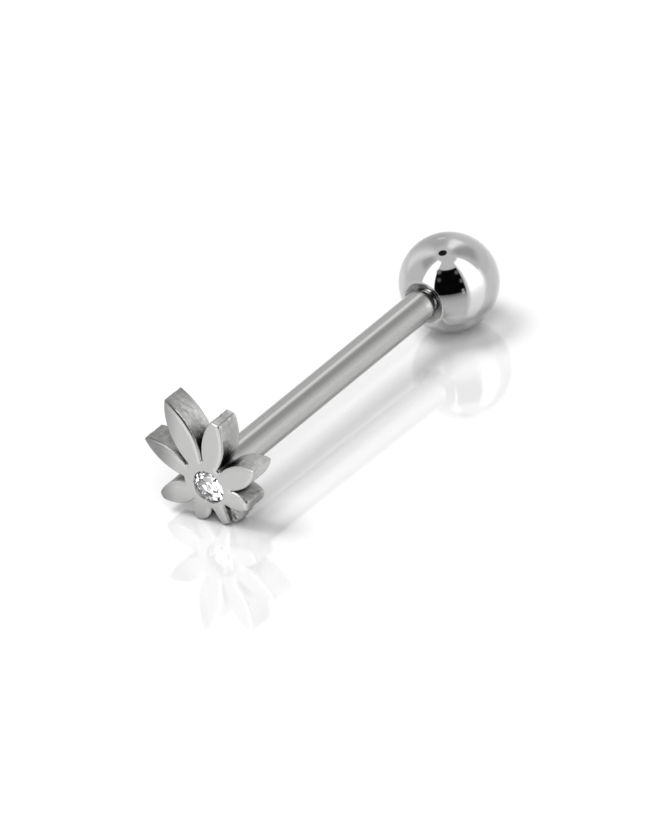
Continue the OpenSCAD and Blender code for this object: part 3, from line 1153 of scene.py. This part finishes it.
@dataclass(frozen=True)
class PolishedSteel(Finish):
    """Stainless steel, tumbled and buffed to a mirror: clear reflections with a faint waviness."""

    name: str = "mirror-polished steel"
    colour: str = "#BABABA"
    roughness: float = 0.045
    # The colour of the bore and the countersink: a little darker than the polish, painted shade in the
    # recess.
    turned_and_shaded_colour: str = "#B2B2B1"
    turned_roughness: float = 0.34
    wave_mm: float = 1.4
    wave_depth_mm: float = 0.01
    wave_strength: float = 0.3

    def sockets(self, tree: bpy.types.NodeTree) -> dict[str, Any]:
        """Adds the nodes. The bore and its countersink, marked as worn, are left rough as the lathe turned
        them, and their colour is painted a little darker, as shade in the recess.

        Args:
            tree: The material's tree.

        Returns:
            What goes into the shader's sockets.
        """
        place = add(tree, "TexCoord").outputs["Object"]
        worn = add(tree, "Attribute", attribute_name="worn").outputs["Fac"]
        wave = add(tree, "TexNoise", {"Vector": place, "Scale": per_metre(self.wave_mm), "Detail": 1.0})
        colours = [worn, srgb(self.colour), srgb(self.turned_and_shaded_colour)]
        return {
            "Base Color": add(tree, "Mix", colours, data_type="RGBA"),
            "Metallic": 1.0,
            "Roughness": add(tree, "MapRange", [worn, 0.0, 1.0, self.roughness, self.turned_roughness]),
            "Normal": add(tree, "Bump", {"Height": wave, "Strength": self.wave_strength,
                                         "Distance": self.wave_depth_mm * MM}),
        }


@dataclass(frozen=True)
class CutCrystal(Finish):
    """Clear cubic zirconia, cut and polished: hard bright and dark facets."""

    name: str = "clear cut crystal"
    colour: str = "#FAFBFD"
    index: float = 2.15

    def sockets(self, tree: bpy.types.NodeTree) -> dict[str, Any]:
        """Gives what goes into the shader's sockets, with no nodes of its own."""
        return {
            "Base Color": srgb(self.colour),
            "Roughness": 0.0,
            "IOR": self.index,
            "Transmission Weight": 1.0,
        }


@dataclass(frozen=True)
class FoilBack(Finish):
    """The silver foil behind a strass stone: a plain mirror."""

    name: str = "silver foil back"
    colour: str = "#FBFBFB"
    roughness: float = 0.01

    def sockets(self, tree: bpy.types.NodeTree) -> dict[str, Any]:
        """Gives what goes into the shader's sockets, with no nodes of its own."""
        return {"Base Color": srgb(self.colour), "Roughness": self.roughness, "Metallic": 1.0}


@dataclass(frozen=True)
class WhiteAcrylic(Finish):
    """A cast acrylic sheet for the floor: white, and glossy enough to mirror a little."""

    name: str = "white acrylic"
    colour: str = "#EDEDED"
    shine: float = 0.2
    roughness: float = 0.07

    def sockets(self, tree: bpy.types.NodeTree) -> dict[str, Any]:
        """Gives what goes into the shader's sockets, with no nodes of its own."""
        return {"Base Color": srgb(self.colour), "Roughness": self.roughness, "Metallic": self.shine}


@dataclass(frozen=True)
class Patch:
    """A bright or dark window of the tent round the stage, between two compass angles and two heights.

    Attributes:
        turn: First and last angle, in degrees counter-clockwise from +X.
        height: Lowest and highest elevation, in degrees.
        level: Its radiance.
        soft: Width of its soft border, in degrees.
    """

    turn: tuple[float, float]
    height: tuple[float, float]
    level: float
    soft: float

    def share(self, tree: bpy.types.NodeTree, ray: dict[str, Any]) -> bpy.types.Node:
        """Adds nodes that give 1 inside the window and 0 outside: the product of four smooth steps.

        Args:
            tree: The world's tree.
            ray: The ray's way, turn and height.

        Returns:
            The node that gives the share.
        """
        spans, half = [], self.soft / 2
        for value, span in ((ray["turn"], self.turn), (ray["height"], self.height)):
            steps = [
                add(tree, "MapRange", [value, end - half, end + half, before, 1.0 - before],
                    interpolation_type="SMOOTHSTEP")
                for end, before in zip(span, (0.0, 1.0))
            ]
            spans.append(add(tree, "Math", steps, operation="MULTIPLY"))
        return add(tree, "Math", spans, operation="MULTIPLY")


@dataclass(frozen=True)
class Disc:
    """A round spot of the tent, such as the gap at its top.

    Attributes:
        turn: Compass angle of its middle, in degrees counter-clockwise from +X.
        height: Elevation of its middle, in degrees.
        radius: Its radius in degrees.
        level: Its radiance.
        soft: Width of its soft border, in degrees.
    """

    turn: float
    height: float
    radius: float
    level: float
    soft: float

    def share(self, tree: bpy.types.NodeTree, ray: dict[str, Any]) -> bpy.types.Node:
        """Adds nodes that give 1 inside the disc: a smooth step of the angle from the ray to its middle.

        Args:
            tree: The world's tree.
            ray: The ray's way, turn and height.

        Returns:
            The node that gives the share.
        """
        turn, height = math.radians(self.turn), math.radians(self.height)
        middle = (math.cos(height) * math.cos(turn), math.cos(height) * math.sin(turn), math.sin(height))
        off = add(tree, "VectorMath", [ray["way"], middle], operation="DOT_PRODUCT")
        for operation in ("ARCCOSINE", "DEGREES"):
            off = add(tree, "Math", [off], operation=operation)
        low, high = self.radius - self.soft / 2, self.radius + self.soft / 2
        return add(tree, "MapRange", [off, low, high, 1.0, 0.0], interpolation_type="SMOOTHSTEP")


@dataclass(frozen=True)
class Lamp:
    """A large, scrimmed lamp behind the tent's wall, that lights the stage softly.

    Attributes:
        turn: Compass angle that it stands at, in degrees counter-clockwise from +X.
        height: Its elevation, in degrees.
        spread: How wide it looks from the stage, in degrees.
        power: Its irradiance.
    """

    turn: float
    height: float
    spread: float
    power: float

    def hang(self) -> None:
        """Hangs the lamp. No mirror shows it, because the tent's wall is in front of it."""
        light = bpy.data.lights.new("lamp", "SUN")
        light.energy, light.angle = self.power, math.radians(self.spread)
        lamp = show("lamp", light)
        lamp.rotation_euler = (math.radians(90 - self.height), 0.0, math.radians(self.turn + 90))
        lamp.visible_glossy = False


@dataclass
class Studio:
    """Plain stage: a pale, slightly glossy floor in a white tent with windows, and lamps behind its wall."""

    tent: float = 0.93
    fill: float = 0.14
    backdrop: float = 1.0
    windows: tuple[Patch | Disc, ...] = (
        # turn, height, level, soft: bright and grey panels, and last the dark gap for the camera
        Patch((34, 64), (-5, 58), 0.74, 16.0),
        Patch((5, 26), (34, 66), 1.49, 14.0),
        Patch((76, 98), (5, 66), 1.25, 18.0),
        Patch((108, 141), (42, 68), 0.60, 16.0),
        Patch((318, 356), (26, 72), 0.58, 22.0),
        Patch((150, 183), (12, 74), 2.4, 7.0),
        Patch((298, 309), (-6, 20), 1.55, 9.0),
        Patch((262, 302), (-12, 66), 2.4, 9.0),
        Patch((182, 255), (-5, 56), 0.004, 4.0),
        # turn, height, radius, level, soft: the gap at the top, and small spots round the tent
        Disc(60.0, 79.0, 8.0, 0.02, 2.0),
        Disc(41.0, 29.5, 5.0, 1.0, 2.0),
        Disc(188.0, 52.0, 5.0, 0.30, 7.0),
        Disc(193.0, 34.0, 4.0, 0.16, 6.0),
        Disc(248.0, 45.0, 4.0, 0.22, 6.0),
        Disc(251.0, 24.0, 4.0, 0.25, 6.0),
        Disc(248.0, 3.0, 3.0, 0.60, 4.0),
    )
    lamps: tuple[Lamp, ...] = (
        # turn, height, spread, power
        Lamp(102.0, 67.0, 32.0, 2.3),
        Lamp(226.0, 62.0, 30.0, 0.85),
        Lamp(222.0, 22.0, 56.0, 1.9),
    )
    floor_size_m: float = 3.0

    def light(self) -> None:
        """Builds the tent as the world's light, one window after another over a plain wall."""
        world = bpy.data.worlds.new("tent")
        bpy.context.scene.world = world
        world.use_nodes = True
        tree = world.node_tree
        tree.nodes.clear()
        way = add(tree, "TexCoord").outputs["Generated"]
        east, north, up = add(tree, "SeparateXYZ", [way]).outputs
        turn = add(tree, "Math", [north, east], operation="ARCTAN2")
        turn = add(tree, "Math", [turn], operation="DEGREES")
        turn = add(tree, "Math", [turn, 360.0], operation="FLOORED_MODULO")
        height = add(tree, "Math", [up], operation="ARCSINE")
        height = add(tree, "Math", [height], operation="DEGREES")
        ray = {"way": way, "turn": turn, "height": height}
        kinds = add(tree, "LightPath").outputs
        shares = [(window.share(tree, ray), window.level) for window in self.windows]
        shares += [(kinds["Is Diffuse Ray"], self.fill), (kinds["Is Camera Ray"], self.backdrop)]
        level = self.tent
        for share, other in shares:
            level = add(tree, "Mix", [share, level, other])
        glow = add(tree, "Background", {"Color": level, "Strength": 1.0})
        add(tree, "OutputWorld", {"Surface": glow})
        for lamp in self.lamps:
            lamp.hang()

    def floor(self) -> bpy.types.Object:
        """Lays the floor: a wide square.

        Returns:
            The floor.
        """
        half = self.floor_size_m / 2
        mesh = bpy.data.meshes.new("floor")
        corners = [(-half, -half, 0), (half, -half, 0), (half, half, 0), (-half, half, 0)]
        mesh.from_pydata(corners, [], [(0, 1, 2, 3)])
        mesh.materials.append(WhiteAcrylic().make())
        floor = show("floor", mesh)
        return floor


@dataclass(frozen=True)
class View:
    """The photograph's viewpoint, as a fitted pinhole camera.

    Attributes:
        place: Where the camera stands, in millimetres.
        turn: Compass angle that it looks along, in degrees from +Y towards +X.
        down: Degrees that it looks down.
        roll: Degrees that it is turned about its own line of sight.
        lens: Focal length, in millimetres.
        sensor: The sensor's longer side, in millimetres.
        clip: Nearest and furthest distance that shows, in metres.
    """

    place: tuple[float, float, float] = (-268.5146, -233.6171, 200.2098)
    turn: float = 48.80811
    down: float = 29.3252
    roll: float = -9.442374
    lens: float = 368.0356
    sensor: float = 36.0
    clip: tuple[float, float] = (0.01, 10.0)

    def make(self) -> bpy.types.Object:
        """Makes the camera and sets it as the scene's.

        Returns:
            The camera.
        """
        data = bpy.data.cameras.new("camera")
        data.lens, data.sensor_width = self.lens, self.sensor
        data.clip_start, data.clip_end = self.clip
        camera = show("camera", data)
        angles = ((-self.turn, "Z"), (90 - self.down, "X"), (self.roll, "Z"))
        turn, down, roll = (Matrix.Rotation(math.radians(angle), 4, axis) for angle, axis in angles)
        camera.matrix_world = Matrix.Translation(Vector(self.place) * MM) @ (turn @ down @ roll)
        bpy.context.scene.camera = camera
        return camera


def main() -> None:
    """Builds the stage and the barbell's pieces in order, and says which body each rides on."""
    logging.basicConfig(level=logging.INFO, format="%(message)s")
    bpy.context.scene.view_settings.view_transform = "Standard"
    View().make()
    studio = Studio()
    studio.light()
    studio.floor()
    rest = Rest()
    cast, brushed, polished = SatinCastSteel().make(), BrushedSteel().make(), PolishedSteel().make()
    leaf_end, rod = Leaf(rest, cast), Bar(rest, brushed)
    leaf, bar, stud = leaf_end.make(), rod.make(), rod.stud()
    ball = Ball(rest, polished).make()
    web = Web(leaf_end).make()
    stone = Stone(rest, CutCrystal().make(), FoilBack().make()).make()
    for piece, body, node in (
        (leaf, Body.BAR, "leaf_bar"),
        (web, Body.BAR, "leaf_bar"),
        (bar, Body.BAR, "leaf_bar"),
        (stud, Body.BAR, "leaf_bar"),
        (stone, Body.BAR, "stone"),
        (ball, Body.BALL, "ball"),
    ):
        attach(piece, body.value)
        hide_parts(node)


if __name__ == "__main__":
    main()
